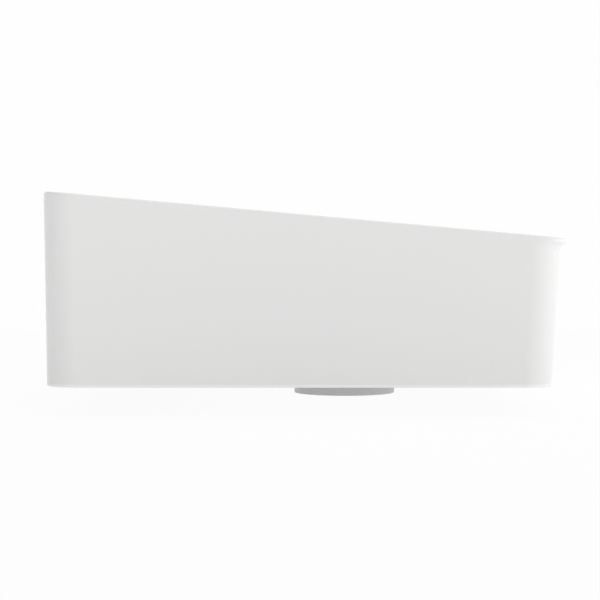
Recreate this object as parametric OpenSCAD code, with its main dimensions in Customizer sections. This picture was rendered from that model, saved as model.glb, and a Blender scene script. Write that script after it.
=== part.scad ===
/* [Basin] */
// Overall width at the rim, left to right
basin_w = 500; // [460:10:560]
// Overall depth at the rim, front to back
basin_d = 400; // [380:5:440]
// Height of the rim above the cabinet top at the back
back_h = 149; // [142:1:160]
// Height of the rim above the cabinet top at the front
front_h = 113; // [106:1:124]
// Radius of the upright corners
corner_r = 24; // [16:1:32]
// Thickness of the ceramic walls
wall = 9; // [8:0.5:10]
// Thickness of the ceramic at the foot that stands on the cabinet
foot_w = 12; // [10:1:16]
// Height over which the foot tapers into the wall
foot_h = 14; // [8:1:24]
// How much the back leans in from the rim to the foot
back_draft = 1.8; // [1:0.2:6]
// How much the front leans in from the lip to the foot
front_draft = 5.5; // [4:0.5:12]
// How much each side leans in from the rim to the foot
side_draft = 1.2; // [0.4:0.2:3]
// How far the lip stands out along the front
lip_out = 5.5; // [3:0.5:7]
// Height of the front lip
lip_h = 11; // [8:1:16]

/* [Rim and bowl] */
// Width of the rim at the back and the sides
rim_w = 20; // [18:1:24]
// Width of the rim at the front
front_rim_w = 26; // [24:1:32]
// Radius of the outer edge of the rim
rim_r = 2.5; // [1.5:0.5:4]
// Radius of the inner edge of the rim
rim_inner_r = 4; // [2:0.5:6]
// Radius of the rim's inner corners
rim_corner_r = 36; // [28:2:44]
// Depth of the tap ledge, front to back
ledge_d = 86; // [80:2:96]
// How far the bowl's edge lies below the rim
bowl_drop = 10; // [7:0.5:12]
// Thickness of the tap ledge
ledge_t = 12; // [10:0.5:14]
// Radius of the edge between the ledge and the bowl
ledge_edge_r = 6; // [4:0.5:8]
// Radius of the bowl's upright corners at its edge
bowl_corner_r = 42; // [38:1:60]
// How square the bowl's section is, from round at 2 to boxy at 5
bowl_squareness = 3.4; // [2.8:0.1:4]
// Fall of the bowl's floor towards the waste
floor_fall = 9; // [5:1:14]

/* [Holes] */
// Distance of the drain axis in front of the basin's middle
drain_forward = 35; // [30:1:42]
// Diameter of the hole for the waste
drain_hole_d = 46; // [45:0.5:48]
// Thickness of the ceramic between the two gaskets of the waste
boss_t = 25; // [24:0.5:30]
// Height of the underside of the drain boss above the cabinet top
boss_lift = 4; // [3:0.5:8]
// Diameter of the drain boss
boss_d = 88; // [82:1:96]
// Depth of the recess that the waste's flange lies in
recess_h = 3; // [2:0.5:4]
// Diameter of the tap hole
tap_hole_d = 35; // [32:1:38]
// Distance of the tap hole from the rim's inner edge at the back
tap_inset = 33; // [28:1:36]
// Diameter of the overflow hole
overflow_hole_d = 24; // [20:1:26]
// Distance of the overflow hole's centre below the ledge
overflow_drop = 25; // [23:1:32]
// Inside width of the cast overflow duct
duct_w = 34; // [28:1:40]
// Inside depth of the cast overflow duct
duct_t = 10; // [8:0.5:11]
// Thickness of the overflow duct's own walls
duct_wall = 6; // [5:0.5:8]

/* [Waste] */
// Diameter of the waste's thread
thread_d = 41.8; // [40:0.2:44]
// Thickness of the waste tube under its thread
tube_t = 2.4; // [2:0.1:3]
// Diameter of the waste's flange
flange_d = 64; // [62:0.5:65]
// Thickness of the waste's flange
flange_t = 2.5; // [2:0.25:3.5]
// Width across the mouth cone at the top of the flange
mouth_d = 45; // [43:0.5:48]
// Depth of the mouth cone
mouth_h = 3; // [2.5:0.25:3.5]
// Width of each overflow slot in the waste tube
slot_w = 14; // [10:1:18]
// Height of each overflow slot in the waste tube
slot_h = 12; // [9:0.5:13]
// Thickness of the rubber ring under the flange
flange_gasket_t = 1.5; // [1:0.25:2]
// Thickness of the rubber ring under the drain boss
lower_gasket_t = 3.5; // [3:0.25:5]
// Outer diameter of the rubber ring under the drain boss
lower_gasket_d = 74; // [68:1:80]
// Thickness of the slip washer
washer_t = 0.8; // [0.6:0.1:1.5]
// Diameter of the grey clamp disc
disc_d = 88; // [84:0.5:96]
// Height of the grey clamp disc
disc_h = 22; // [20:0.5:26]
// Thickness of the clamp disc's top plate
disc_plate_t = 3.5; // [3:0.25:5]
// Thickness of the clamp disc's outer wall
disc_wall = 3; // [2:0.25:4]
// Inside diameter of the clamp disc's nut pocket
pocket_d = 64; // [62:1:68]
// Number of ribs between the clamp disc's two walls
disc_ribs = 8; // [4:1:12]
// Height of the back nut
nut_h = 6.5; // [5:0.5:8]
// Width of the back nut across its corners
nut_d = 58; // [54:1:60]
// Length of free thread for the trap, below the back nut
trap_thread = 10.5; // [9:0.5:11]

/* [Plug mechanism] */
// How far the plug rises to open
plug_travel = 9; // [7:0.5:9.5]
// How far the index ring turns as the plug rises, in degrees
index_turn = 22.5; // [15:0.5:30]
// Diameter of the chromed plug cap
plug_d = 61; // [56:0.5:63]
// Height of the plug cap's dome above its rim
dome_h = 3; // [2:0.25:5]
// Diameter of the cartridge housing
housing_d = 23; // [22.5:0.25:25]
// Diameter of the plunger's stem
plunger_d = 13.8; // [13.2:0.1:14]
// Height of the index ring
index_h = 4.5; // [4:0.25:5]
// Wire thickness of the spring
wire_d = 0.8; // [0.6:0.1:1]
// Number of turns of the spring
spring_turns = 8; // [6:1:10]

/* [Clearances] */
// Radial play of a sliding or turning fit
running_fit = 0.05; // [0.03:0.01:0.1]
// Radial play between rubber or washers and the waste tube
loose_fit = 0.4; // [0.3:0.1:0.6]
// Gap left between parts that move past each other
free_gap = 0.3; // [0.3:0.05:0.5]

/* [Hidden] */
$fn = 64;
arc_steps = 12;
nudge = 0.01;

// Sizes of the basin that follow from the driving ones
slope = (back_h - front_h) / basin_d;
mid_h = (back_h + front_h) / 2;
half_w = basin_w / 2;
half_d = basin_d / 2;
ledge_back_y = half_d - rim_w;
ledge_y = ledge_back_y - ledge_d;
ledge_z = mid_h + slope * ledge_y - bowl_drop;
bowl_front_y = -half_d + front_rim_w + 3;
bowl_half_w = half_w - rim_w - 3;
drain_y = -drain_forward;
seat_z = boss_lift + boss_t;
floor_z = seat_z + recess_h;
recess_r = flange_d / 2 + 1;
floor_r = recess_r + 1;
tap_y = ledge_back_y - tap_inset;
overflow_z = ledge_z - overflow_drop;
boss_z = boss_lift;
overflow_ring_r = overflow_hole_d / 2 + 3;
foot_cut = 0.5;

// Levels of the waste, from the bowl down to the free end of the thread
flange_z = seat_z + flange_gasket_t;
flange_top = flange_z + flange_t;
tube_r = thread_d / 2;
tube_inner_r = tube_r - tube_t;
washer_z = boss_z - lower_gasket_t - washer_t;
disc_bottom = washer_z - disc_h;
nut_top = washer_z - disc_plate_t;
nut_bottom = nut_top - nut_h;
relief_h = 1;
tail_z = nut_bottom - relief_h - trap_thread;
slot_z = boss_z + 5;

// Levels of the push-open mechanism
web_h = 6;
web_t = 3;
web_top = -4;
hub_r = 8;
screw_r = 3;
housing_r = housing_d / 2;
housing_floor_z = web_top + 5;
plunger_r = plunger_d / 2;
collar_r = plunger_r + 1.2;
collar_h = 2;
collar_z = housing_floor_z + 0.9;
index_z = collar_z + collar_h + plug_travel + 2 * free_gap;
index_r = housing_r - 1.9;
chamber_top = index_z + index_h + free_gap + 3;
cap_t = 2.5;
groove_depth = 1.4;
groove_w = 3.3;
lug_w = 2;
lug_h = 2;
lug_z = index_z + (index_h - lug_h) / 2;
turn_rate = index_turn / plug_travel;
spring_bore_r = 4.2;
spring_top = chamber_top + cap_t - 1.5;
plug_gap = 1;
cap_rim_z = flange_top + plug_gap;
neck_h = 4.8;
plunger_top = cap_rim_z - neck_h;
stud_r = 2.5;
stud_grip = 5;
neck_r = 6;
core_r = plug_d / 2 - 2.5;
core_step = 1;
cap_edge_h = 2.6;
core_crown = 1.6;
seal_groove_w = 1;
seal_groove_h = 2;
seal_inner_r = tube_inner_r - 2.5;
seal_drop = 1.8;
seal_play = 0.6;

function lerp(a, b, t) = a + (b - a) * t;
function clamp(t) = min(1, max(0, t));

// Height of the rim's plane over a point at y
function rim_z(y) = mid_h + slope * y;
// Height of the bowl's edge, which is level along the tap ledge
function edge_z(y) = min(ledge_z, rim_z(y) - bowl_drop);
// 0 along the ledge, 1 along the sides and the front
function off_ledge(y) = clamp((ledge_y - y) / bowl_corner_r);

function arc(cx, cy, r, from) =
    [for (i = [0:arc_steps]) let (a = from + 90 * i / arc_steps) [cx + r * cos(a), cy + r * sin(a)]];

// A rounded rectangle from the right-hand side round by the back, the left and the front
function outline(hx, yb, yf, r, side_y) = concat(
    [[hx, side_y]],
    arc(hx - r, yb - r, r, 0),
    [[0, yb]],
    arc(-hx + r, yb - r, r, 90),
    [[-hx, side_y]],
    arc(-hx + r, yf + r, r, 180),
    [[0, yf]],
    arc(hx - r, yf + r, r, 270)
);
// A circle round the drain with as many points as an outline has
function circle_outline(r) = let (n = 4 * (arc_steps + 2))
    [for (i = [0:n - 1]) [r * cos(360 * i / n), drain_y + r * sin(360 * i / n)]];
function lift(points, height) = [for (p = points) [p[0], p[1], height(p[1])]];

// Outline of the outside at a share t of the height under the lip, drawn in by inset
function skirt(t, inset, out = 0) = outline(
    half_w - side_draft * (1 - t) - inset,
    half_d - back_draft * (1 - t) - inset,
    -half_d + lip_out - out + front_draft * (1 - t) + inset,
    max(corner_r - inset, 6),
    ledge_y
);
function skirt_ring(t, inset) =
    lift(skirt(t, inset), function (y) t * (rim_z(y) - lip_h));
function lip_ring(a) =
    lift(skirt(1, 0, lip_out * (1 - cos(a))), function (y) rim_z(y) - lerp(lip_h, rim_r + 1, sin(a)));
function rim_edge_ring(a) =
    lift(skirt(1, rim_r * (1 - cos(a)), lip_out), function (y) rim_z(y) - rim_r * (1 - sin(a)));

// Outline of the rim's inner edge, moved inwards by inset
function rim_inner(inset) = outline(
    half_w - rim_w - inset,
    ledge_back_y - inset,
    -half_d + front_rim_w + inset,
    rim_corner_r - inset,
    ledge_y
);
function rim_inner_ring(a) =
    lift(rim_inner(rim_inner_r * (sin(a) - 1)), function (y) rim_z(y) - rim_inner_r * (1 - cos(a)));

// Outline of the bowl, grown by offset outwards
function bowl_outline(u, offset) = let (r = lerp(bowl_corner_r, floor_r, u)) outline(
    lerp(bowl_half_w, floor_r, u) + offset,
    lerp(ledge_y, drain_y + floor_r, u) + offset,
    lerp(bowl_front_y, drain_y - floor_r, u) - offset,
    r + offset,
    lerp((ledge_y + bowl_front_y) / 2, drain_y, u)
);
function bowl_u(a) = 1 - pow(cos(a), 2 / bowl_squareness);
function bowl_v(a) = let (
    fall = floor_fall / (ledge_z - floor_z)
) pow(sin(a), 2 / bowl_squareness) * (1 - fall) + fall * bowl_u(a);

// The rounded edge from the ledge into the bowl, which runs on as the wall elsewhere
function bowl_edge_ring(a) = lift(
    bowl_outline(0, 2 * (1 - sin(a))),
    function (y) edge_z(y) - lerp(ledge_edge_r * (1 - cos(a)), 4 + 8 * sin(a), off_ledge(y))
);
ledge_edge = lift(bowl_outline(0, 2.4), function (y) edge_z(y));
bowl_start = bowl_edge_ring(90);
function bowl_ring(a) = let (points = bowl_outline(bowl_u(a), 0), v = bowl_v(a))
    [for (i = [0:len(points) - 1]) [points[i][0], points[i][1], lerp(bowl_start[i][2], floor_z, v)]];

// The underside of the bowl follows its inside at the wall's thickness
function under_ring(a) = let (points = bowl_outline(bowl_u(a), wall * sqrt(cos(a))), v = bowl_v(a))
    [for (i = [0:len(points) - 1])
        [points[i][0], points[i][1], lerp(bowl_start[i][2], floor_z, v) - wall * sqrt(sin(a))]];
function crown(y) = edge_z(y) - lerp(ledge_t, ledge_t + 18, off_ledge(y));

bowl_angles = [6, 12, 18, 24, 30, 36, 43, 50, 57, 64, 71, 77, 82, 86];
under_angles = [80, 72, 64, 56, 48, 40, 32, 24, 16, 10];

casting_rings = concat(
    [lift(circle_outline(boss_d / 2 - 2), function (y) boss_z)],
    [lift(circle_outline(boss_d / 2), function (y) boss_z + 2)],
    [lift(circle_outline(boss_d / 2 + 2), function (y) floor_z - wall - 4)],
    [for (a = under_angles) under_ring(a)],
    [lift(bowl_outline(0, wall), function (y) crown(y))],
    [lift(skirt(1, wall), function (y) crown(y))],
    [skirt_ring(0.55, wall)],
    [lift(skirt(0.1, wall), function (y) foot_h)],
    [lift(skirt(0, foot_w), function (y) -foot_cut)],
    [lift(skirt(0, 2), function (y) -foot_cut)],
    [lift(skirt(0, 0.4), function (y) 0.5)],
    [lift(skirt(0, 0), function (y) 1.5)],
    [skirt_ring(0.5, 0)],
    [for (a = [0:22.5:90]) lip_ring(a)],
    [for (a = [0:22.5:90]) rim_edge_ring(a)],
    [for (a = [0:22.5:90]) rim_inner_ring(a)],
    [lift(rim_inner(0), function (y) edge_z(y))],
    [ledge_edge],
    [for (a = [0:30:90]) bowl_edge_ring(a)],
    [for (a = bowl_angles) bowl_ring(a)],
    [lift(circle_outline(floor_r), function (y) floor_z)]
);

// One closed skin through rings of equal length, capped at both ends
module skin(rings) {
    n = len(rings[0]);
    last = len(rings) - 1;
    polyhedron(
        points = [for (ring = rings) each ring],
        faces = concat(
            [[for (i = [0:n - 1]) i]],
            [for (k = [0:last - 1], i = [0:n - 1]) let (j = (i + 1) % n)
                each [
                    [k * n + i, (k + 1) * n + i, (k + 1) * n + j],
                    [k * n + i, (k + 1) * n + j, k * n + j]
                ]],
            [[for (i = [n - 1:-1:0]) last * n + i]]
        )
    );
}

// Section line behind the bowl's rear wall and under its floor, at a depth inside the ceramic
duct_angles = [4, 12, 20, 28, 36, 44, 52, 60, 68, 76, 84, 90];
function duct_point(a, depth) = [
    lerp(ledge_y, drain_y + floor_r, bowl_u(a)) + depth * sqrt(cos(a)),
    lerp(ledge_z - ledge_edge_r, floor_z, bowl_v(a)) - depth * sqrt(sin(a))
];
function duct_line(depth) = [for (a = duct_angles) duct_point(a, depth)];
function reverse(list) = [for (i = [len(list) - 1:-1:0]) list[i]];

// A YZ section between two depths, closed above at top_z and run on to y under the floor
module duct_section(near, far, top_z, end_y, width) {
    near_line = duct_line(near);
    far_line = duct_line(far);
    last = len(duct_angles) - 1;
    rotate([90, 0, 90])
        linear_extrude(width, center = true)
            polygon(concat(
                [[ledge_y + near, top_z]],
                near_line,
                [[end_y, near_line[last][1]], [end_y, far_line[last][1]]],
                reverse(far_line),
                [[ledge_y + far, top_z]]
            ));
}

module at_drain() {
    translate([0, drain_y, 0])
        children();
}

// A flat ring round the drain axis
module washer_ring(inner_r, outer_r, z, t) {
    at_drain()
        translate([0, 0, z])
            difference() {
                cylinder(h = t, r = outer_r);
                translate([0, 0, -1])
                    cylinder(h = t + 2, r = inner_r);
            }
}

module basin_body() {
    color([0.95, 0.95, 0.94])
    difference() {
        union() {
            skin(casting_rings);
            duct_section(
                wall - 3, wall + duct_t + duct_wall, ledge_z - ledge_t + 2, drain_y, duct_w + 2 * duct_wall
            );
        }
        duct_section(wall, wall + duct_t, ledge_z - ledge_t - 3, drain_y, duct_w);
        // The foot is ground flat where it stands on the cabinet
        translate([-basin_w, -basin_d, -basin_d])
            cube([2 * basin_w, 2 * basin_d, basin_d]);
        at_drain() {
            translate([0, 0, boss_z - 1])
                cylinder(h = boss_t + 2, d = drain_hole_d);
            translate([0, 0, seat_z])
                cylinder(h = recess_h + 1, r = recess_r);
        }
        translate([0, tap_y, ledge_z - ledge_t - 1])
            cylinder(h = ledge_t + 2, d = tap_hole_d);
        translate([0, ledge_y - 0.3, overflow_z])
            rotate([-90, 0, 0]) {
                cylinder(h = wall + 2, d = overflow_hole_d);
                translate([0, 0, -8])
                    cylinder(h = 8, r = overflow_ring_r + 0.5);
            }
    }
}

module overflow_ring() {
    sleeve_r = overflow_hole_d / 2 - free_gap;
    color([0.78, 0.8, 0.82])
    translate([0, ledge_y - 0.3, overflow_z])
        rotate([-90, 0, 0])
            difference() {
                rotate_extrude()
                    polygon([
                        [sleeve_r - 2, -0.8], [sleeve_r - 1.2, -1.6], [overflow_ring_r - 1.2, -1.6],
                        [overflow_ring_r, -0.6], [overflow_ring_r, 0], [sleeve_r, 0],
                        [sleeve_r, wall - 1], [sleeve_r - 1.4, wall], [sleeve_r - 2, wall]
                    ]);
                for (a = [0:60:120])
                    rotate([0, 0, a])
                        translate([-1.5, -sleeve_r - 1, 2])
                            cube([3, 2 * sleeve_r + 2, wall]);
            }
}

module waste_body() {
    color([0.78, 0.8, 0.82])
    at_drain()
    difference() {
        union() {
            rotate_extrude()
                polygon([
                    [tube_inner_r, tail_z], [tube_r - 0.8, tail_z], [tube_r, tail_z + 0.8],
                    [tube_r, nut_bottom - relief_h], [tube_r - 0.8, nut_bottom - relief_h],
                    [tube_r - 0.8, nut_bottom], [tube_r, nut_bottom], [tube_r, flange_z],
                    [flange_d / 2 - 0.4, flange_z], [flange_d / 2, flange_z + 0.5],
                    [flange_d / 2, flange_top - 1.2], [flange_d / 2 - 0.5, flange_top - 0.4],
                    [flange_d / 2 - 1.8, flange_top], [mouth_d / 2, flange_top],
                    [tube_inner_r, flange_top - mouth_h]
                ]);
            translate([0, 0, web_top - web_h])
                linear_extrude(web_h)
                    difference() {
                        union() {
                            circle(r = hub_r);
                            for (a = [45, 135])
                                rotate(a)
                                    square([2 * tube_inner_r + 2, web_t], center = true);
                        }
                        circle(r = screw_r + free_gap);
                    }
        }
        for (a = [0, 90])
            rotate([0, 0, a])
                translate([-tube_r - 1, -slot_w / 2, slot_z])
                    cube([2 * tube_r + 2, slot_w, slot_h]);
    }
}

module flange_gasket() {
    color([0.12, 0.12, 0.13])
        washer_ring(drain_hole_d / 2 + 0.5, flange_d / 2 - 1, seat_z, flange_gasket_t);
}

module lower_gasket() {
    z = boss_z - lower_gasket_t;
    color([0.12, 0.12, 0.13])
    at_drain()
        rotate_extrude()
            polygon([
                [tube_r + loose_fit, z], [lower_gasket_d / 2, z],
                [lower_gasket_d / 2, z + lower_gasket_t - 1],
                [lower_gasket_d / 2 - 1, boss_z], [tube_r + loose_fit + 1.2, boss_z],
                [tube_r + loose_fit, z + lower_gasket_t - 1]
            ]);
}

module slip_washer() {
    color([0.85, 0.85, 0.82])
        washer_ring(tube_r + loose_fit, lower_gasket_d / 2 - 2, washer_z, washer_t);
}

module clamp_disc() {
    collar_t = 2.5;
    color([0.6, 0.61, 0.62])
    at_drain()
    translate([0, 0, disc_bottom])
    difference() {
        union() {
            difference() {
                rotate_extrude()
                    polygon([
                        [0, 0.2], [disc_d / 2 - 0.6, 0], [disc_d / 2, 0.6], [disc_d / 2, disc_h - 1],
                        [disc_d / 2 - 1, disc_h], [0, disc_h]
                    ]);
                translate([0, 0, -1])
                    cylinder(h = disc_h - disc_plate_t + 1, r = disc_d / 2 - disc_wall);
            }
            difference() {
                union() {
                    cylinder(h = disc_h - 1, r = pocket_d / 2 + collar_t);
                    for (i = [0:disc_ribs - 1])
                        rotate([0, 0, 360 * i / disc_ribs])
                            translate([0, -1, 1])
                                cube([disc_d / 2 - 1, 2, disc_h - 2]);
                }
                translate([0, 0, -1])
                    cylinder(h = disc_h - disc_plate_t + 1, d = pocket_d);
            }
        }
        translate([0, 0, -1])
            cylinder(h = disc_h + 2, r = tube_r + loose_fit);
    }
}

module back_nut() {
    color([0.72, 0.6, 0.36])
    at_drain()
    translate([0, 0, nut_bottom])
        difference() {
            intersection() {
                cylinder(h = nut_h, d = nut_d, $fn = 6);
                rotate_extrude()
                    polygon([
                        [0, 0], [nut_d / 2 - 2.5, 0], [nut_d / 2, 1.6], [nut_d / 2, nut_h], [0, nut_h]
                    ]);
            }
            translate([0, 0, -1])
                cylinder(h = nut_h + 2, r = tube_r + running_fit);
        }
}

module cartridge_housing() {
    color([0.93, 0.93, 0.9])
    at_drain()
    difference() {
        union() {
            translate([0, 0, web_top])
                cylinder(h = chamber_top - web_top, r = housing_r);
            translate([0, 0, web_top])
                cylinder(h = 3, r = housing_r + 1.5);
        }
        translate([0, 0, housing_floor_z])
            cylinder(h = index_z - housing_floor_z + 1, r = collar_r + free_gap);
        translate([0, 0, index_z - free_gap])
            cylinder(h = chamber_top - index_z + 1, r = index_r + running_fit);
        translate([0, 0, web_top - 1])
            cylinder(h = housing_floor_z - web_top + 2, r = screw_r + running_fit);
        for (a = [0, 90])
            rotate([0, 0, a])
                translate([-housing_r - 1, -1.5, housing_floor_z + 3])
                    cube([2 * housing_r + 2, 3, 4]);
    }
}

module cartridge_cap() {
    color([0.93, 0.93, 0.9])
    at_drain()
        rotate_extrude()
            polygon([
                [plunger_r + running_fit, index_z + index_h + free_gap],
                [index_r, index_z + index_h + free_gap],
                [index_r, chamber_top], [housing_r, chamber_top],
                [housing_r, chamber_top + cap_t - 0.8], [housing_r - 0.8, chamber_top + cap_t],
                [plunger_r + running_fit, chamber_top + cap_t]
            ]);
}

module cartridge_screw() {
    head_r = 5;
    head_h = 4;
    head_z = web_top - web_h - head_h;
    color([0.7, 0.71, 0.72])
    at_drain()
    difference() {
        union() {
            translate([0, 0, head_z])
                cylinder(h = head_h, r = head_r);
            translate([0, 0, head_z])
                cylinder(h = head_h + web_h + 4.5, r = screw_r);
        }
        translate([0, 0, head_z - 1])
            cylinder(h = 3.5, r = 2.9, $fn = 6);
    }
}

module index_ring() {
    inner_r = plunger_r + free_gap;
    color([0.2, 0.35, 0.6])
    at_drain()
    union() {
        translate([0, 0, index_z])
            difference() {
                cylinder(h = index_h, r = index_r);
                translate([0, 0, -1])
                    cylinder(h = index_h + 2, r = inner_r);
                for (i = [0:7])
                    rotate([0, 0, 45 * i + 22.5])
                        translate([index_r - 0.7, -1, -1])
                            cube([2, 2, index_h + 2]);
            }
        for (a = [0, 180])
            rotate([0, 0, a])
                translate([plunger_r - groove_depth + free_gap, -lug_w / 2, lug_z])
                    cube([inner_r - plunger_r + groove_depth, lug_w, lug_h]);
    }
}

// The spring is one round wire swept along its helix
module cartridge_spring() {
    coil_r = spring_bore_r - free_gap - wire_d / 2;
    low = housing_floor_z + wire_d / 2 + nudge;
    high = spring_top - wire_d / 2 - nudge;
    per_turn = 12;
    sides = 6;
    steps = spring_turns * per_turn;
    color([0.62, 0.63, 0.65])
    at_drain()
        skin([for (k = [0:steps]) let (a = 360 * k / per_turn, z = lerp(low, high, k / steps))
            [for (s = [0:sides - 1]) let (b = 360 * s / sides, r = coil_r + wire_d / 2 * cos(b))
                [r * cos(a), r * sin(a), z + wire_d / 2 * sin(b)]]]);
}

module plunger() {
    groove_low = collar_z + collar_h + 0.6;
    groove_h = lug_z + lug_h + 1 - groove_low;
    groove_start = turn_rate * (lug_z + lug_h / 2 - groove_low);
    color([0.9, 0.9, 0.88])
    at_drain()
    difference() {
        union() {
            translate([0, 0, collar_z])
                cylinder(h = collar_h, r = collar_r);
            translate([0, 0, collar_z])
                cylinder(h = plunger_top - collar_z, r = plunger_r);
        }
        translate([0, 0, collar_z - 1])
            cylinder(h = spring_top - collar_z + 1, r = spring_bore_r);
        translate([0, 0, plunger_top - stud_grip])
            cylinder(h = stud_grip + 1, r = stud_r + running_fit);
        for (a = [0, 180])
            translate([0, 0, groove_low])
                rotate([0, 0, a + groove_start])
                    linear_extrude(groove_h, twist = turn_rate * groove_h, slices = 12, segments = 4)
                        translate([plunger_r - groove_depth, -groove_w / 2])
                            square([groove_depth + 2, groove_w]);
    }
}

module plug_stud() {
    color([0.72, 0.6, 0.36])
    at_drain()
        translate([0, 0, plunger_top - stud_grip])
            cylinder(h = 2 * stud_grip, r = stud_r);
}

module plug_core() {
    color([0.2, 0.2, 0.21])
    at_drain()
    difference() {
        rotate_extrude()
            polygon([
                [0, plunger_top], [neck_r, plunger_top], [neck_r, cap_rim_z], [seal_inner_r, cap_rim_z],
                [seal_inner_r, cap_rim_z - seal_groove_h],
                [seal_inner_r + seal_groove_w, cap_rim_z - seal_groove_h],
                [seal_inner_r + seal_groove_w, cap_rim_z], [core_r, cap_rim_z],
                [core_r, cap_rim_z + core_step], [0, cap_rim_z + core_crown]
            ]);
        translate([0, 0, plunger_top - 1])
            cylinder(h = stud_grip + 1.2, r = stud_r + running_fit);
    }
}

module plug_seal() {
    seal_r = mouth_d / 2 - seal_play;
    cone_rate = (mouth_d / 2 - tube_inner_r) / mouth_h;
    low = flange_top - seal_drop;
    inner_r = seal_inner_r + seal_groove_w + running_fit;
    color([0.12, 0.12, 0.13])
    at_drain()
        rotate_extrude()
            polygon([
                [inner_r, cap_rim_z], [inner_r, low + 0.6], [inner_r + 0.6, low],
                [seal_r - cone_rate * seal_drop, low], [seal_r, flange_top], [seal_r, cap_rim_z]
            ]);
}

module plug_cap() {
    r = plug_d / 2;
    side_top = cap_rim_z + cap_edge_h - 0.6;
    color([0.78, 0.8, 0.82])
    at_drain()
        rotate_extrude()
            polygon(concat(
                [[core_r + 0.2, cap_rim_z], [r - 0.5, cap_rim_z], [r, cap_rim_z + 0.5]],
                [for (i = [0:10]) let (t = i / 10) [
                    r * cos(90 * t) * (1 - 0.02 * sin(180 * t)),
                    side_top + (dome_h + 0.6) * pow(sin(90 * t), 0.8)
                ]],
                [[0, cap_rim_z + core_crown + 0.2], [core_r + 0.2, cap_rim_z + core_step + 0.2]]
            ));
}

basin_body();
overflow_ring();
waste_body();
flange_gasket();
lower_gasket();
slip_washer();
clamp_disc();
back_nut();
cartridge_housing();
cartridge_cap();
cartridge_screw();
index_ring();
cartridge_spring();
plunger();
plug_stud();
plug_core();
plug_seal();
plug_cap();
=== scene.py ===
"""A cabinet-top basin with its push-open waste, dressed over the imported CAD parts.

Sizes are in millimetres, as on the maker's drawing, and turned to metres when a piece is finished.
"""

import math

import bmesh
import bpy
from mathutils import Matrix, Vector


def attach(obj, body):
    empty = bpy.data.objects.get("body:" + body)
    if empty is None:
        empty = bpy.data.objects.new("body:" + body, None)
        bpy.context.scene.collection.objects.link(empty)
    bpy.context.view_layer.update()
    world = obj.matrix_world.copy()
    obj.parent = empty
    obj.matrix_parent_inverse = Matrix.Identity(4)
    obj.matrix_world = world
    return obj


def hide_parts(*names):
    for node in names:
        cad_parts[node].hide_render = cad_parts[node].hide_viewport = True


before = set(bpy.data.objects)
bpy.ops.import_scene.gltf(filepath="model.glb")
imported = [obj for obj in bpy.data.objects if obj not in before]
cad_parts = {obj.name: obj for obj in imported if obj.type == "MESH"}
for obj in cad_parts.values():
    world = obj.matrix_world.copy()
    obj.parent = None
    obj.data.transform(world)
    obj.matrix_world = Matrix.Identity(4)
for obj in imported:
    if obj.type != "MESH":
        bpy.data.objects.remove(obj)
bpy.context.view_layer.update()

# The casting
# One slip-cast ceramic piece: rim, tap ledge, bowl, outer walls, overflow duct and drain boss. It is glazed
# white wherever it shows, ground flat on its foot and left thinly glazed and dull on the inside underneath.
MM = 0.001
WIDTH, DEPTH = 500, 400
BACK_HEIGHT, FRONT_HEIGHT = 149, 113
HALF_WIDTH, HALF_DEPTH = WIDTH / 2, DEPTH / 2
SLOPE = (BACK_HEIGHT - FRONT_HEIGHT) / DEPTH
MIDDLE_HEIGHT = (BACK_HEIGHT + FRONT_HEIGHT) / 2
WALL = 9
OUTER_CORNER = 24
SIDE_LEAN, BACK_LEAN, FRONT_LEAN = 1.2, 1.8, 5.5
FOOT_WIDTH, FOOT_HEIGHT, FOOT_BEVEL = 12, 14, 0.8
FOOT_EDGE_WIDTH, FOOT_EDGE_HEIGHT = 1.2, 2.2
LIP_OUT, LIP_HEIGHT, LIP_FACE = 5.5, 11, 1
LIP_TURN, LIP_STEPS = math.radians(50), 10
RIM_WIDTH, FRONT_RIM_WIDTH = 20, 26
RIM_EDGE, RIM_INNER_EDGE, RIM_INNER_CORNER = 2.5, 4, 36
LEDGE_BACK = HALF_DEPTH - RIM_WIDTH
LEDGE_FRONT = LEDGE_BACK - 86
LEDGE_FILLET, LEDGE_FILLET_SHARE = 4, 0.6
LEDGE_THICKNESS, BOWL_SIDE_THICKNESS = 12, 30
BOWL_DROP = 10
LEDGE_HEIGHT = MIDDLE_HEIGHT + SLOPE * LEDGE_FRONT - BOWL_DROP
LEDGE_EDGE = 6
BOWL_CORNER = 42
BOWL_SIDE = LEDGE_FRONT - BOWL_CORNER
BOWL_FRONT = -HALF_DEPTH + FRONT_RIM_WIDTH + 3
BOWL_HALF_WIDTH = HALF_WIDTH - RIM_WIDTH - 3
BOWL_POWER = 2 / 3.4
FLOOR_FALL = 9
DRAIN_Y = -35
SEAT_HEIGHT, FLOOR_HEIGHT = 29, 32
RECESS_RADIUS, FLOOR_RADIUS = 33, 34
BOSS_BOTTOM, BOSS_RADIUS, BOSS_EDGE, BOSS_ROOT = 4, 44, 2, 4
CORNER_STEPS, SIDE_STEPS, LEDGE_STEPS = 18, 12, 5
BOWL_STEPS, BOWL_CROWDING = 40, 1.7
LEDGE_EDGE_WIDTH, SIDE_EDGE_WIDTH = 5, 2
SIDE_START, SIDE_END = 4, 22
GLAZED, DULL, GROUND = 0, 1, 2


def between(a, b, share):
    return a + (b - a) * share


def eased(share):
    return share * share * (3 - 2 * share)


def quarter_turn(steps):
    return [math.radians(90 * k / steps) for k in range(steps + 1)]


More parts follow.
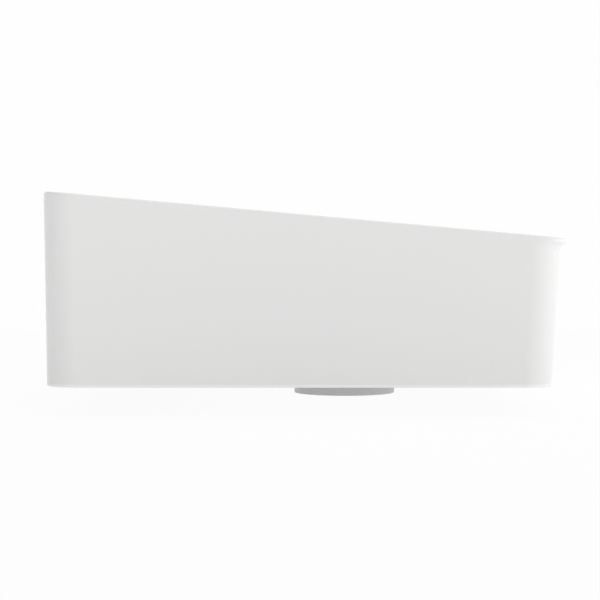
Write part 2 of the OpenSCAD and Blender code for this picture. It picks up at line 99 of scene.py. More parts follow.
def plan(half_width, back, front, radius, round_ledge=False):
    """Rounded rectangle seen from above, from the middle of its front to the back, then its mirror."""
    turns = quarter_turn(CORNER_STEPS)
    x = half_width - radius
    side = BOWL_SIDE if round_ledge else back - radius
    half = [(x * k / SIDE_STEPS, front) for k in range(SIDE_STEPS)]
    half += [(x + radius * math.sin(t), front + radius - radius * math.cos(t)) for t in turns]
    half += [(half_width, between(front + radius, side, k / SIDE_STEPS)) for k in range(1, SIDE_STEPS)]
    if round_ledge:
        half += [(half_width, BOWL_SIDE + BOWL_CORNER * math.sin(t)) for t in turns]
        half += [
            (half_width, between(LEDGE_FRONT, back - radius, k / LEDGE_STEPS))
            for k in range(1, LEDGE_STEPS)
        ]
    half += [(x + radius * math.cos(t), back - radius + radius * math.sin(t)) for t in turns]
    steps = SIDE_STEPS if round_ledge else SIDE_STEPS + CORNER_STEPS + LEDGE_STEPS
    half += [(x * (1 - k / steps), back) for k in range(1, steps + 1)]
    return half + [(-x, y) for x, y in half[-2:0:-1]]


def round_plan(radius):
    return plan(radius, DRAIN_Y + radius, DRAIN_Y - radius, radius)


def lifted(points, height):
    return [(x, y, height(y)) for x, y in points]


def level(points, height):
    return [(x, y, height) for x, y in points]


def mixed(ring, other, shares):
    return [
        tuple(between(a, b, share) for a, b in zip(p, q))
        for p, q, share in zip(ring, other, shares)
    ]


def rim_height(y):
    return MIDDLE_HEIGHT + SLOPE * y


def edge_height(y):
    return min(LEDGE_HEIGHT, rim_height(y) - BOWL_DROP)


def off_ledge(y):
    return min(1, max(0, (LEDGE_FRONT - y) / BOWL_CORNER))


def skirt(share, inset, out=0):
    lean = 1 - share
    return plan(
        HALF_WIDTH - SIDE_LEAN * lean - inset,
        HALF_DEPTH - BACK_LEAN * lean - inset,
        -HALF_DEPTH + LIP_OUT - out + FRONT_LEAN * lean + inset,
        max(OUTER_CORNER - inset, 6),
        round_ledge=True,
    )


def rim_inner(inset):
    return plan(
        HALF_WIDTH - RIM_WIDTH - inset,
        LEDGE_BACK - inset,
        -HALF_DEPTH + FRONT_RIM_WIDTH + inset,
        RIM_INNER_CORNER - inset,
        round_ledge=True,
    )


def bowl_plan(share, grow):
    return plan(
        between(BOWL_HALF_WIDTH, FLOOR_RADIUS, share) + grow,
        between(LEDGE_FRONT, DRAIN_Y + FLOOR_RADIUS, share) + grow,
        between(BOWL_FRONT, DRAIN_Y - FLOOR_RADIUS, share) - grow,
        between(BOWL_CORNER, FLOOR_RADIUS, share) + grow,
    )


rim_line, bowl_line = rim_inner(0), bowl_plan(0, 0)
no_ledge = [eased(off_ledge(y)) for _, y in bowl_line]


def bowl_edge(grow):
    return mixed(bowl_plan(0, LEDGE_EDGE_WIDTH * grow), bowl_plan(0, SIDE_EDGE_WIDTH * grow), no_ledge)


ledge_fillets = [
    min(LEDGE_FILLET, LEDGE_FILLET_SHARE * math.dist(p, q)) for p, q in zip(rim_line, bowl_edge(1))
]


def ledge_fillet(turn):
    """The hollow where the rim's inner wall runs down into the tap ledge."""
    inwards = [size / LEDGE_FILLET * (1 - math.cos(turn)) for size in ledge_fillets]
    foot = mixed(rim_line, rim_inner(LEDGE_FILLET), inwards)
    return [
        (x, y, edge_height(y) + size * (1 - math.sin(turn)))
        for (x, y), size in zip(foot, ledge_fillets)
    ]


ledge_rings = [ledge_fillet(t) for t in quarter_turn(5)]
ledge_foot = [(x, y) for x, y, _ in ledge_rings[-1]]
ledge_rings += [
    lifted(mixed(ledge_foot, bowl_edge(1), [k / LEDGE_STEPS] * len(rim_line)), edge_height)
    for k in range(1, LEDGE_STEPS)
]
ledge_rings += [
    lifted(bowl_edge(1 - math.sin(t)), lambda y, t=t: edge_height(y) - LEDGE_EDGE * (1 - math.cos(t)))
    for t in quarter_turn(9)
]
brim_start = lifted(rim_line, lambda y: rim_height(y) - SIDE_START)
lengths = [[0] * len(rim_line)]
for ring, last_ring in zip(ledge_rings, [brim_start] + ledge_rings):
    lengths.append([length + math.dist(p, q) for length, p, q in zip(lengths[-1], ring, last_ring)])
brim_rings = []
for ring, ring_lengths in zip(ledge_rings, lengths[1:]):
    down = [length / whole for length, whole in zip(ring_lengths, lengths[-1])]
    wall_line = mixed(rim_line, bowl_line, [eased(share) for share in down])
    wall_ring = [
        (x, y, rim_height(y) - between(SIDE_START, SIDE_END, share))
        for (x, y), share in zip(wall_line, down)
    ]
    brim_rings.append(mixed(ring, wall_ring, no_ledge))
bowl_start = brim_rings[-1]
fall_share = FLOOR_FALL / (LEDGE_HEIGHT - FLOOR_HEIGHT)


def bowl_ring(turn, outside=False):
    inwards = 1 - math.cos(turn) ** BOWL_POWER
    downwards = math.sin(turn) ** BOWL_POWER * (1 - fall_share) + fall_share * inwards
    grow = WALL * math.sqrt(math.cos(turn)) if outside else 0
    drop = WALL * math.sqrt(math.sin(turn)) if outside else 0
    return [
        (x, y, between(start[2], FLOOR_HEIGHT, downwards) - drop)
        for (x, y), start in zip(bowl_plan(inwards, grow), bowl_start)
    ]


def ceiling(y):
    return edge_height(y) - between(LEDGE_THICKNESS, BOWL_SIDE_THICKNESS, off_ledge(y))


def outer_wall(share, inset):
    return lifted(skirt(share, inset), lambda y: share * (rim_height(y) - LIP_HEIGHT))


def lip_ring(turn):
    """The front lip flares out in an arc up to a short upright face under the rim's edge."""
    out = LIP_OUT * (1 - math.cos(turn)) / (1 - math.cos(LIP_TURN))
    drop = between(LIP_HEIGHT, RIM_EDGE + LIP_FACE, math.sin(turn) / math.sin(LIP_TURN))
    return lifted(skirt(1, 0, out), lambda y: rim_height(y) - drop)


def rim_edge_ring(turn):
    drop = RIM_EDGE * (1 - math.sin(turn))
    return lifted(skirt(1, RIM_EDGE * (1 - math.cos(turn)), LIP_OUT), lambda y: rim_height(y) - drop)


def rim_inner_ring(turn):
    drop = RIM_INNER_EDGE * (1 - math.cos(turn))
    return lifted(rim_inner(RIM_INNER_EDGE * (math.sin(turn) - 1)), lambda y: rim_height(y) - drop)


bowl_turns = []
for k in range(1, BOWL_STEPS):
    near, far = (k / BOWL_STEPS) ** BOWL_CROWDING, (1 - k / BOWL_STEPS) ** BOWL_CROWDING
    bowl_turns.append(math.pi / 2 * near / (near + far))

casting_rings = []
for t in quarter_turn(4):
    boss_edge = round_plan(BOSS_RADIUS - BOSS_EDGE + BOSS_EDGE * math.sin(t))
    casting_rings.append((level(boss_edge, BOSS_BOTTOM + BOSS_EDGE - BOSS_EDGE * math.cos(t)), DULL))
casting_rings += [(level(round_plan(BOSS_RADIUS + BOSS_EDGE), FLOOR_HEIGHT - WALL - BOSS_ROOT), DULL)]
casting_rings += [(bowl_ring(math.radians(degrees), outside=True), DULL) for degrees in range(80, 8, -4)]
casting_rings += [
    (lifted(bowl_plan(0, WALL), ceiling), DULL),
    (lifted(skirt(1, WALL), ceiling), DULL),
    (outer_wall(0.55, WALL), DULL),
    (level(skirt(0.1, WALL), FOOT_HEIGHT), DULL),
    (level(skirt(0, FOOT_WIDTH), FOOT_BEVEL), DULL),
    (level(skirt(0, FOOT_WIDTH - FOOT_BEVEL), 0), DULL),
]
casting_rings += [
    (level(skirt(0, FOOT_EDGE_WIDTH * (1 - math.sin(t))), FOOT_EDGE_HEIGHT * (1 - math.cos(t))), GROUND)
    for t in quarter_turn(5)
]
casting_rings += [(outer_wall(k / 8, 0), GLAZED) for k in range(1, 8)]
casting_rings += [(lip_ring(LIP_TURN * k / LIP_STEPS), GLAZED) for k in range(LIP_STEPS + 1)]
casting_rings += [(rim_edge_ring(t), GLAZED) for t in quarter_turn(6)]
casting_rings += [(rim_inner_ring(t), GLAZED) for t in quarter_turn(8)]
casting_rings += [(ring, GLAZED) for ring in brim_rings]
casting_rings += [(bowl_ring(t), GLAZED) for t in bowl_turns]
casting_rings += [(level(round_plan(FLOOR_RADIUS), FLOOR_HEIGHT), GLAZED)]


def loft(rings):
    """Extrudes one closed skin from ring to ring; each ring comes with the finish of the band below it."""
    bm = bmesh.new()
    station = bm.verts.layers.int.new("station")
    places, _ = rings[0]
    circle = bmesh.ops.create_circle(bm, cap_ends=True, segments=len(places), radius=1)["verts"]
    for k, vert in enumerate(circle):
        vert[station] = k
        vert.co = places[k]
    rim = list(bm.edges)
    for places, finish in rings[1:]:
        grown = bmesh.ops.extrude_edge_only(bm, edges=rim)["geom"]
        for part in grown:
            if isinstance(part, bmesh.types.BMVert):
                part.co = places[part[station]]
            elif isinstance(part, bmesh.types.BMFace):
                part.material_index = finish
        rim = [part for part in grown if isinstance(part, bmesh.types.BMEdge) and part.is_boundary]
    bmesh.ops.contextual_create(bm, geom=rim)
    bmesh.ops.remove_doubles(bm, verts=bm.verts, dist=0.005)
    bmesh.ops.recalc_face_normals(bm, faces=bm.faces)
    return bm


def placed(bm, name, materials, smooth_to=35):
    """Turns millimetres to metres and puts the mesh in the scene with its materials and smooth shading."""
    bmesh.ops.scale(bm, vec=(MM, MM, MM), verts=bm.verts)
    mesh = bpy.data.meshes.new(name)
    bm.to_mesh(mesh)
    bm.free()
    for material in materials:
        mesh.materials.append(material)
    mesh.shade_smooth()
    mesh.set_sharp_from_angle(angle=math.radians(smooth_to))
    piece = bpy.data.objects.new(name, mesh)
    bpy.context.scene.collection.objects.link(piece)
    return piece


def carved(piece, tool, operation="DIFFERENCE", smooth_to=35):
    """Cuts a tool out of a piece, or joins it on, and throws the tool away."""
    cut = piece.modifiers.new("cut", "BOOLEAN")
    cut.operation = operation
    cut.solver = "EXACT"
    cut.object = tool
    shaped = piece.evaluated_get(bpy.context.evaluated_depsgraph_get())
    mesh = bpy.data.meshes.new_from_object(shaped)
    piece.modifiers.clear()
    piece.data = mesh
    mesh.set_sharp_from_angle(angle=math.radians(smooth_to))
    bpy.data.objects.remove(tool)
    return piece


def turned(profile, steps=96):
    """Turns a profile of (radius, height, rounding) corners round the vertical axis."""
    bm = bmesh.new()
    corners = [bm.verts.new((corner[0], 0, corner[1])) for corner in profile]
    pairs = list(zip(corners, corners[1:]))
    if profile[0][0] or profile[-1][0]:
        pairs.append((corners[-1], corners[0]))
    for pair in pairs:
        bm.edges.new(pair)
    rounded = {}
    for vert, corner in zip(corners, profile):
        if len(corner) > 2:
            rounded.setdefault(corner[2], []).append(vert)
    for size, verts in rounded.items():
        bmesh.ops.bevel(
            bm, geom=verts, offset=size, offset_type="OFFSET", segments=4, profile=0.5,
            affect="VERTICES", material=-1, clamp_overlap=True,
        )
    bmesh.ops.spin(
        bm, geom=bm.verts[:] + bm.edges[:], cent=(0, 0, 0), axis=(0, 0, 1), dvec=(0, 0, 0),
        angle=math.tau, steps=steps, use_merge=True,
    )
    bmesh.ops.remove_doubles(bm, verts=bm.verts, dist=0.001)
    bmesh.ops.recalc_face_normals(bm, faces=bm.faces)
    return bm


def moved(bm, x=0, y=0, z=0):
    bmesh.ops.translate(bm, vec=(x, y, z), verts=bm.verts)
    return bm


def at_drain(bm, z=0):
    return moved(bm, y=DRAIN_Y, z=z)


def block(size, centre, turn=0):
    bm = bmesh.new()
    bmesh.ops.create_cube(bm, size=1)
    bmesh.ops.scale(bm, vec=size, verts=bm.verts)
    bmesh.ops.translate(bm, vec=centre, verts=bm.verts)
    bmesh.ops.rotate(bm, cent=(0, 0, 0), matrix=Matrix.Rotation(math.radians(turn), 3, "Z"), verts=bm.verts)
    return bm


def duct(near, far, top, width):
    """The overflow duct's section behind the bowl's rear wall and under its floor, given a width."""
    turns = [math.radians(degrees) for degrees in range(4, 91, 2)]

    def line(depth):
        points = []
        for t in turns:
            inwards = 1 - math.cos(t) ** BOWL_POWER
            downwards = math.sin(t) ** BOWL_POWER * (1 - fall_share) + fall_share * inwards
            y = between(LEDGE_FRONT, DRAIN_Y + FLOOR_RADIUS, inwards)
            z = between(LEDGE_HEIGHT - LEDGE_EDGE, FLOOR_HEIGHT, downwards)
            points.append((y + depth * math.sqrt(max(0, math.cos(t))), z - depth * math.sqrt(math.sin(t))))
        return points

    close, wide = line(near), line(far)
    outline = [(LEDGE_FRONT + near, top)] + close + [(DRAIN_Y, close[-1][1]), (DRAIN_Y, wide[-1][1])]
    outline += wide[::-1] + [(LEDGE_FRONT + far, top)]
    bm = bmesh.new()
    face = bm.faces.new([bm.verts.new((-width / 2, y, z)) for y, z in outline])
    grown = bmesh.ops.extrude_face_region(bm, geom=[face])["geom"]
    far_side = [part for part in grown if isinstance(part, bmesh.types.BMVert)]
    bmesh.ops.translate(bm, vec=(width, 0, 0), verts=far_side)
    bmesh.ops.recalc_face_normals(bm, faces=bm.faces)
    for part in bm.faces:
        part.material_index = DULL
    return bm


def surface(name, colour, roughness, metallic=0.0, mottle=0.02, cloud=0.04, grain=0.0008, relief=0.00001,
            spread=0.2, stretch=(1, 1, 1)):
    """A finish with cloudy colour, uneven sheen and a fine grain, all at their real size on the piece."""
    material = bpy.data.materials.new(name)
    material.use_nodes = True
    nodes, links = material.node_tree.nodes, material.node_tree.links
    shader = nodes["Principled BSDF"]
    shader.inputs["Metallic"].default_value = metallic
    where = nodes.new("ShaderNodeTexCoord").outputs["Object"]
    mapping = nodes.new("ShaderNodeMapping")
    mapping.inputs["Scale"].default_value = stretch
    links.new(where, mapping.inputs["Vector"])

    def noise(size, detail):
        node = nodes.new("ShaderNodeTexNoise")
        node.inputs["Scale"].default_value = 1 / size
        node.inputs["Detail"].default_value = detail
        links.new(mapping.outputs["Vector"], node.inputs["Vector"])
        return node.outputs["Fac"]

    tint = nodes.new("ShaderNodeMix")
    tint.data_type = "RGBA"
    tint.inputs["A"].default_value = (*[c * (1 - mottle) for c in colour], 1)
    tint.inputs["B"].default_value = (*[min(1, c * (1 + mottle)) for c in colour], 1)
    links.new(noise(cloud, 3), tint.inputs["Factor"])
    links.new(tint.outputs["Result"], shader.inputs["Base Color"])
    sheen = nodes.new("ShaderNodeMapRange")
    sheen.inputs["To Min"].default_value = roughness * (1 - spread)
    sheen.inputs["To Max"].default_value = roughness * (1 + spread)
    links.new(noise(cloud / 3, 2), sheen.inputs["Value"])
    links.new(sheen.outputs["Result"], shader.inputs["Roughness"])
    bump = nodes.new("ShaderNodeBump")
    bump.inputs["Distance"].default_value = relief
    links.new(noise(grain, 2), bump.inputs["Height"])
    links.new(bump.outputs["Normal"], shader.inputs["Normal"])
    return material


glaze = surface("white glaze", (0.86, 0.86, 0.855), 0.09, mottle=0.008, cloud=0.12, grain=0.03,
                relief=0.00012)
glaze.node_tree.nodes["Principled BSDF"].inputs["IOR"].default_value = 1.52
dull_glaze = surface("thin dull glaze", (0.80, 0.79, 0.76), 0.6, mottle=0.05, cloud=0.05, grain=0.0012,
                     relief=0.00012)
ground_ceramic = surface("ground ceramic", (0.94, 0.94, 0.93), 0.6, mottle=0.02, cloud=0.02, grain=0.0008,
                         relief=0.00004)

casting = placed(loft(casting_rings), "casting", (glaze, dull_glaze, ground_ceramic))
DUCT_WIDTH, DUCT_DEPTH, DUCT_WALL, DUCT_ROOT = 34, 10, 6, 3
DUCT_TOP = LEDGE_HEIGHT - LEDGE_THICKNESS
duct_outside = duct(
    WALL - DUCT_ROOT, WALL + DUCT_DEPTH + DUCT_WALL, DUCT_TOP + 2, DUCT_WIDTH + 2 * DUCT_WALL
)
carved(casting, placed(duct_outside, "duct", ()), "UNION")
carved(casting, placed(duct(WALL, WALL + DUCT_DEPTH, DUCT_TOP - 3, DUCT_WIDTH), "duct", ()))
HOLE_RADIUS = 23
drain_tool = turned([
    (0, BOSS_BOTTOM - 1), (HOLE_RADIUS, BOSS_BOTTOM - 1), (HOLE_RADIUS, SEAT_HEIGHT),
    (RECESS_RADIUS, SEAT_HEIGHT, 1), (RECESS_RADIUS, FLOOR_HEIGHT - 1),
    (RECESS_RADIUS + 0.3, FLOOR_HEIGHT - 0.3), (RECESS_RADIUS + 1, FLOOR_HEIGHT + 0.02),
    (RECESS_RADIUS + 1, FLOOR_HEIGHT + 4), (0, FLOOR_HEIGHT + 4),
], 128)
carved(casting, placed(at_drain(drain_tool), "drain", ()))
TAP_RADIUS, TAP_Y, TAP_EDGE = 17.5, LEDGE_BACK - 33, 2.2
tap_profile = [(0, LEDGE_HEIGHT - 20), (TAP_RADIUS, LEDGE_HEIGHT - 20)]
tap_profile += [
    (TAP_RADIUS + TAP_EDGE * (1 - math.cos(t)), LEDGE_HEIGHT + 0.02 - TAP_EDGE * (1 - math.sin(t)))
    for t in quarter_turn(6)
]
tap_profile += [(TAP_RADIUS + TAP_EDGE, LEDGE_HEIGHT + 5), (0, LEDGE_HEIGHT + 5)]
carved(casting, placed(moved(turned(tap_profile), y=TAP_Y), "tap_hole", ()))
OVERFLOW_Y, OVERFLOW_HEIGHT, OVERFLOW_RADIUS = LEDGE_FRONT - 0.3, LEDGE_HEIGHT - 25, 12
TRIM_RADIUS = 15
FACING_BACK = Matrix.Rotation(math.radians(-90), 3, "X")


def at_overflow(bm):
    """Lays a shape made round the vertical axis down on the axis of the overflow hole."""
    bmesh.ops.rotate(bm, cent=(0, 0, 0), matrix=FACING_BACK, verts=bm.verts)
    return moved(bm, y=OVERFLOW_Y, z=OVERFLOW_HEIGHT)


overflow_tool = turned([
    (0, -8), (TRIM_RADIUS + 0.5, -8), (TRIM_RADIUS + 0.5, 0), (OVERFLOW_RADIUS, 0),
    (OVERFLOW_RADIUS, WALL + 2), (0, WALL + 2),
], 72)
carved(casting, placed(at_overflow(overflow_tool), "overflow", ()))
even = casting.modifiers.new("even shading", "WEIGHTED_NORMAL")
even.keep_sharp = True
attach(casting, "basin")
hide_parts("basin_body")

# The overflow trim
# A pressed and chromed ring with a split sleeve, pushed into the overflow hole from the bowl's side.
chrome = surface("polished chrome", (0.80, 0.80, 0.81), 0.07, metallic=1, mottle=0.01, cloud=0.02,
                 grain=0.0009, relief=0.000002, spread=0.35)
SLEEVE_OUTER, SLEEVE_INNER = 11.7, 9.7
SPLIT_WIDTH, SPLIT_START = 3, 2
trim = turned([
    (SLEEVE_INNER, -0.9, 0.4), (10.5, -1.6, 0.4), (13.8, -1.6, 0.8), (TRIM_RADIUS, -0.6, 0.4),
    (TRIM_RADIUS, 0), (SLEEVE_OUTER, 0, 0.1), (SLEEVE_OUTER, 8), (10.3, WALL), (SLEEVE_INNER, WALL),
], 96)
overflow_trim = placed(at_overflow(trim), "overflow_trim", (chrome,))
for turn in (0, 60, 120):
    split = block((25, SPLIT_WIDTH, WALL), (0, 0, SPLIT_START + WALL / 2), turn)
    carved(overflow_trim, placed(at_overflow(split), "split", ()))
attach(overflow_trim, "basin")
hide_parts("overflow_ring")

# The flange gasket
# A flat rubber ring that lies in the drain recess under the waste's flange.
FLANGE_BOTTOM = SEAT_HEIGHT + 1.5
rubber = surface("black rubber", (0.05, 0.05, 0.054), 0.55, mottle=0.1, cloud=0.012, grain=0.0006,
                 relief=0.00004)
flat_ring = turned([
    (23.5, SEAT_HEIGHT, 0.3), (31, SEAT_HEIGHT, 0.3), (31, FLANGE_BOTTOM, 0.3), (23.5, FLANGE_BOTTOM, 0.3),
])
seat_gasket = placed(at_drain(flat_ring), "seat_gasket", (rubber,))
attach(seat_gasket, "basin")
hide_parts("flange_gasket")

# The waste
# A turned and chromed brass tube with a polished flange at its mouth, four overflow slots, a cross web that
# carries the plug's mechanism, and an 11-to-the-inch thread at its free end for the trap.
TUBE_RADIUS, TUBE_INNER, THREAD_ROOT = 20.9, 18.5, 19.7
TAIL_BOTTOM, THREAD_TOP, PITCH = -21.8, -11.3, 2.309
waste_profile = [
    (TUBE_INNER, TAIL_BOTTOM, 0.3), (THREAD_ROOT, TAIL_BOTTOM, 0.3), (THREAD_ROOT, THREAD_TOP + 1),
    (TUBE_RADIUS, THREAD_TOP + 1, 0.2), (TUBE_RADIUS, FLANGE_BOTTOM), (31.6, FLANGE_BOTTOM, 0.2), (32, 31),
    (32, 31.9, 0.5), (30.6, 33, 1.6), (22.5, 33, 0.6), (TUBE_INNER, 30, 0.5),
]
waste = placed(at_drain(turned(waste_profile, 128)), "waste", (chrome,))
SLOT_WIDTH, SLOT_HEIGHT, SLOT_MIDDLE = 14, 12, 15
for turn in (0, 90):
    slot = block((60, SLOT_WIDTH, SLOT_HEIGHT), (0, 0, SLOT_MIDDLE), turn)
    carved(waste, placed(at_drain(slot), "slot", ()))
WEB_BOTTOM, WEB_TOP, WEB_THICKNESS, HUB_RADIUS, SCREW_HOLE = -10, -4, 3, 8, 3.3
for turn in (45, 135, 225, 315):
    arm = block((11.6, WEB_THICKNESS, WEB_TOP - WEB_BOTTOM), (13, 0, (WEB_BOTTOM + WEB_TOP) / 2), turn)
    carved(waste, placed(at_drain(arm), "web", ()), "UNION")
hub = turned([
    (SCREW_HOLE, WEB_BOTTOM, 0.3), (HUB_RADIUS, WEB_BOTTOM, 0.5), (HUB_RADIUS, WEB_TOP, 0.5),
    (SCREW_HOLE, WEB_TOP, 0.3),
], 64)
carved(waste, placed(at_drain(hub), "hub", ()), "UNION")

# The ridge of the thread joins the tube after the cuts, as a closed skin of its own, because a cut of the two
# together drops the ridge or turns it inside out.
THREAD_STEPS, THREAD_TURNS = 64, 3.75
tooth = [(THREAD_ROOT - 0.2, -0.95), (TUBE_RADIUS, -0.2), (TUBE_RADIUS, 0.2), (THREAD_ROOT - 0.2, 0.95)]
thread_bm = bmesh.new()
tooth_face = thread_bm.faces.new([thread_bm.verts.new((r, 0, TAIL_BOTTOM + 1 + z)) for r, z in tooth])
bmesh.ops.spin(
    thread_bm, geom=[*tooth_face.verts, *tooth_face.edges, tooth_face], cent=(0, 0, 0), axis=(0, 0, 1),
    dvec=(0, 0, PITCH / THREAD_STEPS), angle=math.tau * THREAD_TURNS,
    steps=int(THREAD_STEPS * THREAD_TURNS), use_merge=False,
)
bmesh.ops.recalc_face_normals(thread_bm, faces=thread_bm.faces)
thread = placed(at_drain(thread_bm), "thread", ())
whole_bm = bmesh.new()
whole_bm.from_mesh(waste.data)
whole_bm.from_mesh(thread.data)
whole_bm.to_mesh(waste.data)
whole_bm.free()
bpy.data.objects.remove(thread)
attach(waste, "basin")
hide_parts("waste_body")

# The lower gasket
# A thick rubber ring, chamfered at its top, that seals the drain boss from below.
BORE, WASHER_TOP = 21.3, 0.5
thick_ring = turned([
    (BORE, WASHER_TOP, 0.4), (37, WASHER_TOP, 0.5), (37, 3, 0.4), (36, BOSS_BOTTOM, 0.3),
    (22.5, BOSS_BOTTOM, 0.3), (BORE, 3, 0.3),
])
boss_gasket = placed(at_drain(thick_ring), "boss_gasket", (rubber,))
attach(boss_gasket, "basin")
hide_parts("lower_gasket")

# The slip washer
# A thin hard washer between the rubber and the clamp disc, so that tightening doesn't drag the rubber.
white_plastic = surface("white moulded plastic", (0.82, 0.82, 0.79), 0.42, mottle=0.015, cloud=0.01,
                        grain=0.0005, relief=0.00002)
WASHER_BOTTOM = -0.3
thin_ring = turned([
    (BORE, WASHER_BOTTOM, 0.15), (35, WASHER_BOTTOM, 0.15), (35, WASHER_TOP, 0.15), (BORE, WASHER_TOP, 0.15),
])
slip_ring = placed(at_drain(thin_ring), "slip_ring", (white_plastic,))
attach(slip_ring, "basin")
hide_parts("slip_washer")

# The clamp disc
# The grey disc that shows under the basin: moulded, with an outer wall, a top plate, a deep round pocket for
# the trap's nut and eight ribs between its walls.
DISC_RADIUS, DISC_BOTTOM, DISC_HEIGHT = 44, -22.3, 22
DISC_INNER, COLLAR_OUTER, POCKET_RADIUS, PLATE_BOTTOM = 41, 34.5, 32, 18.5
RIBS, RIB_THICKNESS = 8, 2
grey_plastic = surface("grey moulded plastic", (0.62, 0.625, 0.635), 0.4, mottle=0.02, cloud=0.015,
                       grain=0.0007, relief=0.00003)
disc_profile = [
    (DISC_INNER, 0, 0.5), (DISC_RADIUS, 0, 0.5), (DISC_RADIUS, DISC_HEIGHT, 1.2), (BORE, DISC_HEIGHT, 0.4),
    (BORE, PLATE_BOTTOM, 0.4), (POCKET_RADIUS, PLATE_BOTTOM, 0.8), (POCKET_RADIUS, 0, 0.5),
    (COLLAR_OUTER, 0, 0.5), (COLLAR_OUTER, PLATE_BOTTOM, 0.8), (DISC_INNER, PLATE_BOTTOM, 0.8),
]
clamp = placed(at_drain(turned(disc_profile, 128), DISC_BOTTOM), "clamp", (grey_plastic,))
for k in range(RIBS):
    rib = block((8.2, RIB_THICKNESS, 18), (37.6, 0, 10), 360 / RIBS * k)
    carved(clamp, placed(at_drain(rib, DISC_BOTTOM), "rib", ()), "UNION")
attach(clamp, "basin")
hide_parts("clamp_disc")

# The back nut
# A brass hexagon nut, chamfered below, that pulls the clamp disc up against the washer.
brass = surface("turned brass", (0.78, 0.60, 0.30), 0.28, metallic=1, mottle=0.04, cloud=0.008,
                grain=0.0007, relief=0.000008, stretch=(1, 1, 8))
NUT_BOTTOM, NUT_HEIGHT, NUT_RADIUS = -10.3, 6.5, 29
POINT_FORWARD = Matrix.Rotation(math.radians(30), 3, "Z")
nut_bm = bmesh.new()
bmesh.ops.create_cone(
    nut_bm, cap_ends=True, segments=6, radius1=NUT_RADIUS, radius2=NUT_RADIUS, depth=NUT_HEIGHT,
)
bmesh.ops.rotate(nut_bm, cent=(0, 0, 0), matrix=POINT_FORWARD, verts=nut_bm.verts)
nut = placed(at_drain(nut_bm, NUT_BOTTOM + NUT_HEIGHT / 2), "nut", (brass,))
chamfer = turned([
    (0, -0.01), (26.5, -0.01), (NUT_RADIUS, 1.6), (NUT_RADIUS + 0.4, NUT_HEIGHT + 0.01),
    (0, NUT_HEIGHT + 0.01),
], 96)
carved(nut, placed(at_drain(chamfer, NUT_BOTTOM), "chamfer", ()), "INTERSECT")
bore = turned([(0, -1), (22, -1), (20.95, 0.8), (20.95, 5.7), (22, 7.5), (0, 7.5)], 96)
carved(nut, placed(at_drain(bore, NUT_BOTTOM), "bore", ()))
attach(nut, "basin")
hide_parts("back_nut")

# The plug's mechanism
# A moulded housing on the cross web, closed by a guide cap and held by a socket-head screw. The turning ring,
# the spring, the plunger and the stud inside it keep their CAD shapes and only get their finish.
blue_plastic = surface("blue moulded plastic", (0.12, 0.25, 0.50), 0.35, mottle=0.03, cloud=0.006,
                       grain=0.0004, relief=0.00001)
steel = surface("stainless steel", (0.62, 0.62, 0.63), 0.3, metallic=1, mottle=0.03, cloud=0.004,
                grain=0.0005, relief=0.000006)
for node, material in (
    ("cartridge_housing", white_plastic), ("cartridge_cap", white_plastic), ("plunger", white_plastic),
    ("cartridge_screw", steel), ("cartridge_spring", steel), ("index_ring", blue_plastic),
    ("plug_stud", brass),
):
    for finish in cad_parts[node].material_slots:
        finish.material = material

# The plug
# A black moulded core screwed on the stud, a rubber lip seal round it, and a domed chromed cap over both.
black_plastic = surface("black moulded plastic", (0.05, 0.05, 0.055), 0.42, mottle=0.08, cloud=0.01,
                        grain=0.0005, relief=0.00002)
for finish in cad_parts["plug_core"].material_slots:
    finish.material = black_plastic
CAP_RIM, CAP_RADIUS, CAP_EDGE, DOME, DOME_EDGE = 34, 30.5, 2.6, 3, 0.6
SEAL_INNER, SEAL_LIP, SEAL_BOTTOM = 17.05, 21.9, 31.2
seal_profile = [
    (SEAL_INNER, CAP_RIM), (SEAL_INNER, SEAL_BOTTOM + 0.6, 0.2), (17.65, SEAL_BOTTOM, 0.2),
    (19.5, SEAL_BOTTOM, 0.4), (SEAL_LIP, 33, 0.4), (SEAL_LIP, CAP_RIM),
]
seal = placed(at_drain(turned(seal_profile)), "lip_seal", (rubber,))
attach(seal, "plug")
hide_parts("plug_seal")
cap_profile = [(0, 35.8), (28.2, 35.2), (28.2, CAP_RIM, 0.15), (CAP_RADIUS, CAP_RIM, 0.5)]
for t in quarter_turn(24)[:-1]:
    dome_height = (DOME + DOME_EDGE) * math.sin(t) ** 0.8
    dome_radius = CAP_RADIUS * math.cos(t) * (1 - 0.02 * math.sin(2 * t))
    cap_profile.append((dome_radius, CAP_RIM + CAP_EDGE - DOME_EDGE + dome_height))
cap_profile += [(0, CAP_RIM + CAP_EDGE + DOME)]
cap = placed(at_drain(turned(cap_profile, 144)), "dome_cap", (chrome,))
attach(cap, "plug")
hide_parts("plug_cap")

# The floor
# A plain white studio floor just under the clamp disc. The camera and reflections see it white with the
# basin's soft shadow. For all else it is a grey floor that gives off light, less of it close to the basin.
FLOOR_HALF, FLOOR_GAP = 1.2, 0.2
floor_bm = bmesh.new()
bmesh.ops.create_grid(floor_bm, x_segments=1, y_segments=1, size=FLOOR_HALF / MM)
floor = placed(moved(floor_bm, z=DISC_BOTTOM - FLOOR_GAP), "floor", ())
floor_look = bpy.data.materials.new("studio floor")
floor_look.use_nodes = True
nodes, links = floor_look.node_tree.nodes, floor_look.node_tree.links


def lit_paper(colour, glow):
    shade, light, both = (nodes.new("ShaderNode" + kind) for kind in ("BsdfDiffuse", "Emission", "AddShader"))
    shade.inputs["Color"].default_value = (colour, colour, colour, 1)
    light.inputs["Strength"].default_value = glow
    links.new(shade.outputs["BSDF"], both.inputs[0])
    links.new(light.outputs["Emission"], both.inputs[1])
    return both.outputs["Shader"], light.inputs["Strength"]


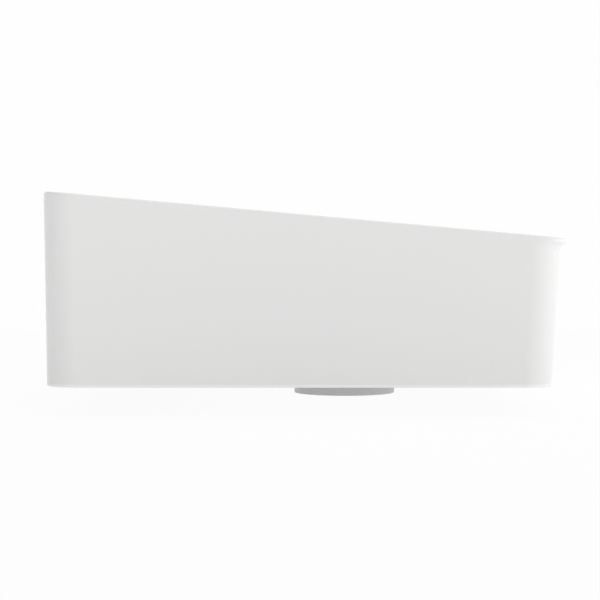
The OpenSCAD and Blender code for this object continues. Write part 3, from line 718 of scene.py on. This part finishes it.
distance = nodes.new("ShaderNodeVectorMath")
distance.operation = "LENGTH"
links.new(nodes.new("ShaderNodeTexCoord").outputs["Object"], distance.inputs[0])
outwards = nodes.new("ShaderNodeMapRange")
for socket, value in (("From Min", 0.25), ("From Max", 0.9), ("To Min", 0.58), ("To Max", 1.19)):
    outwards.inputs[socket].default_value = value
links.new(distance.outputs["Value"], outwards.inputs["Value"])
lighting, strength = lit_paper(0.25, 0)
links.new(outwards.outputs["Result"], strength)
white, _ = lit_paper(0.06, 0.935)
ray = nodes.new("ShaderNodeLightPath")
looks = nodes.new("ShaderNodeMath")
looks.operation = "MAXIMUM"
links.new(ray.outputs["Is Camera Ray"], looks.inputs[0])
links.new(ray.outputs["Is Glossy Ray"], looks.inputs[1])
switch = nodes.new("ShaderNodeMixShader")
links.new(looks.outputs["Value"], switch.inputs["Fac"])
links.new(lighting, switch.inputs[1])
links.new(white, switch.inputs[2])
links.new(switch.outputs["Shader"], nodes["Material Output"].inputs["Surface"])
floor.data.materials.append(floor_look)

# The studio
# A white room that lights the basin from all round and more from its front, with one wide soft lamp in front
# of the basin and one above it. The camera, reflections and clear things see the room plain white.
world = bpy.data.worlds.new("white room")
bpy.context.scene.world = world
world.use_nodes = True
nodes, links = world.node_tree.nodes, world.node_tree.links
room = nodes["Background"]
room.inputs["Color"].default_value = (1, 1, 1, 1)
direction = nodes.new("ShaderNodeSeparateXYZ")
links.new(nodes.new("ShaderNodeTexCoord").outputs["Generated"], direction.inputs["Vector"])
front_light = nodes.new("ShaderNodeMapRange")
for socket, value in (("From Min", -1), ("From Max", 1), ("To Min", 1.09), ("To Max", 0.3)):
    front_light.inputs[socket].default_value = value
links.new(direction.outputs["Y"], front_light.inputs["Value"])
ray = nodes.new("ShaderNodeLightPath")
seen = nodes.new("ShaderNodeMath")
seen.operation = "MAXIMUM"
links.new(ray.outputs["Is Camera Ray"], seen.inputs[0])
links.new(ray.outputs["Is Glossy Ray"], seen.inputs[1])
through = nodes.new("ShaderNodeMath")
through.operation = "MAXIMUM"
links.new(seen.outputs["Value"], through.inputs[0])
links.new(ray.outputs["Is Transmission Ray"], through.inputs[1])
brightness = nodes.new("ShaderNodeMix")
brightness.inputs["B"].default_value = 0.99
links.new(through.outputs["Value"], brightness.inputs["Factor"])
links.new(front_light.outputs["Result"], brightness.inputs["A"])
links.new(brightness.outputs["Result"], room.inputs["Strength"])

BASIN_MIDDLE = Vector((0, 0, 0.05))
for name, place, width, height, power in (
    ("front lamp", (0, -1.9, 0.48), 1.8, 1.0, 4.2),
    ("top lamp", (0, 0, 1.6), 1.6, 1.6, 5),
):
    panel = bpy.data.lights.new(name, "AREA")
    panel.shape = "RECTANGLE"
    panel.size, panel.size_y = width, height
    panel.energy = power
    lamp = bpy.data.objects.new(name, panel)
    lamp.location = place
    lamp.rotation_euler = (BASIN_MIDDLE - lamp.location).to_track_quat("-Z", "Y").to_euler()
    lamp.visible_camera = False
    bpy.context.scene.collection.objects.link(lamp)

# The camera
# Square on to the basin's left side, a little above its foot and tilted down by under two degrees.
camera_data = bpy.data.cameras.new("camera")
camera_data.lens = 117.6
camera_data.sensor_width = 36
camera = bpy.data.objects.new("camera", camera_data)
camera.location = (-1.7275, 0.0041, 0.1108)
TILT = math.radians(1.719)
camera.rotation_euler = Vector((math.cos(TILT), 0, -math.sin(TILT))).to_track_quat("-Z", "Y").to_euler()
bpy.context.scene.collection.objects.link(camera)
bpy.context.scene.camera = camera
bpy.context.scene.view_settings.view_transform = "Standard"
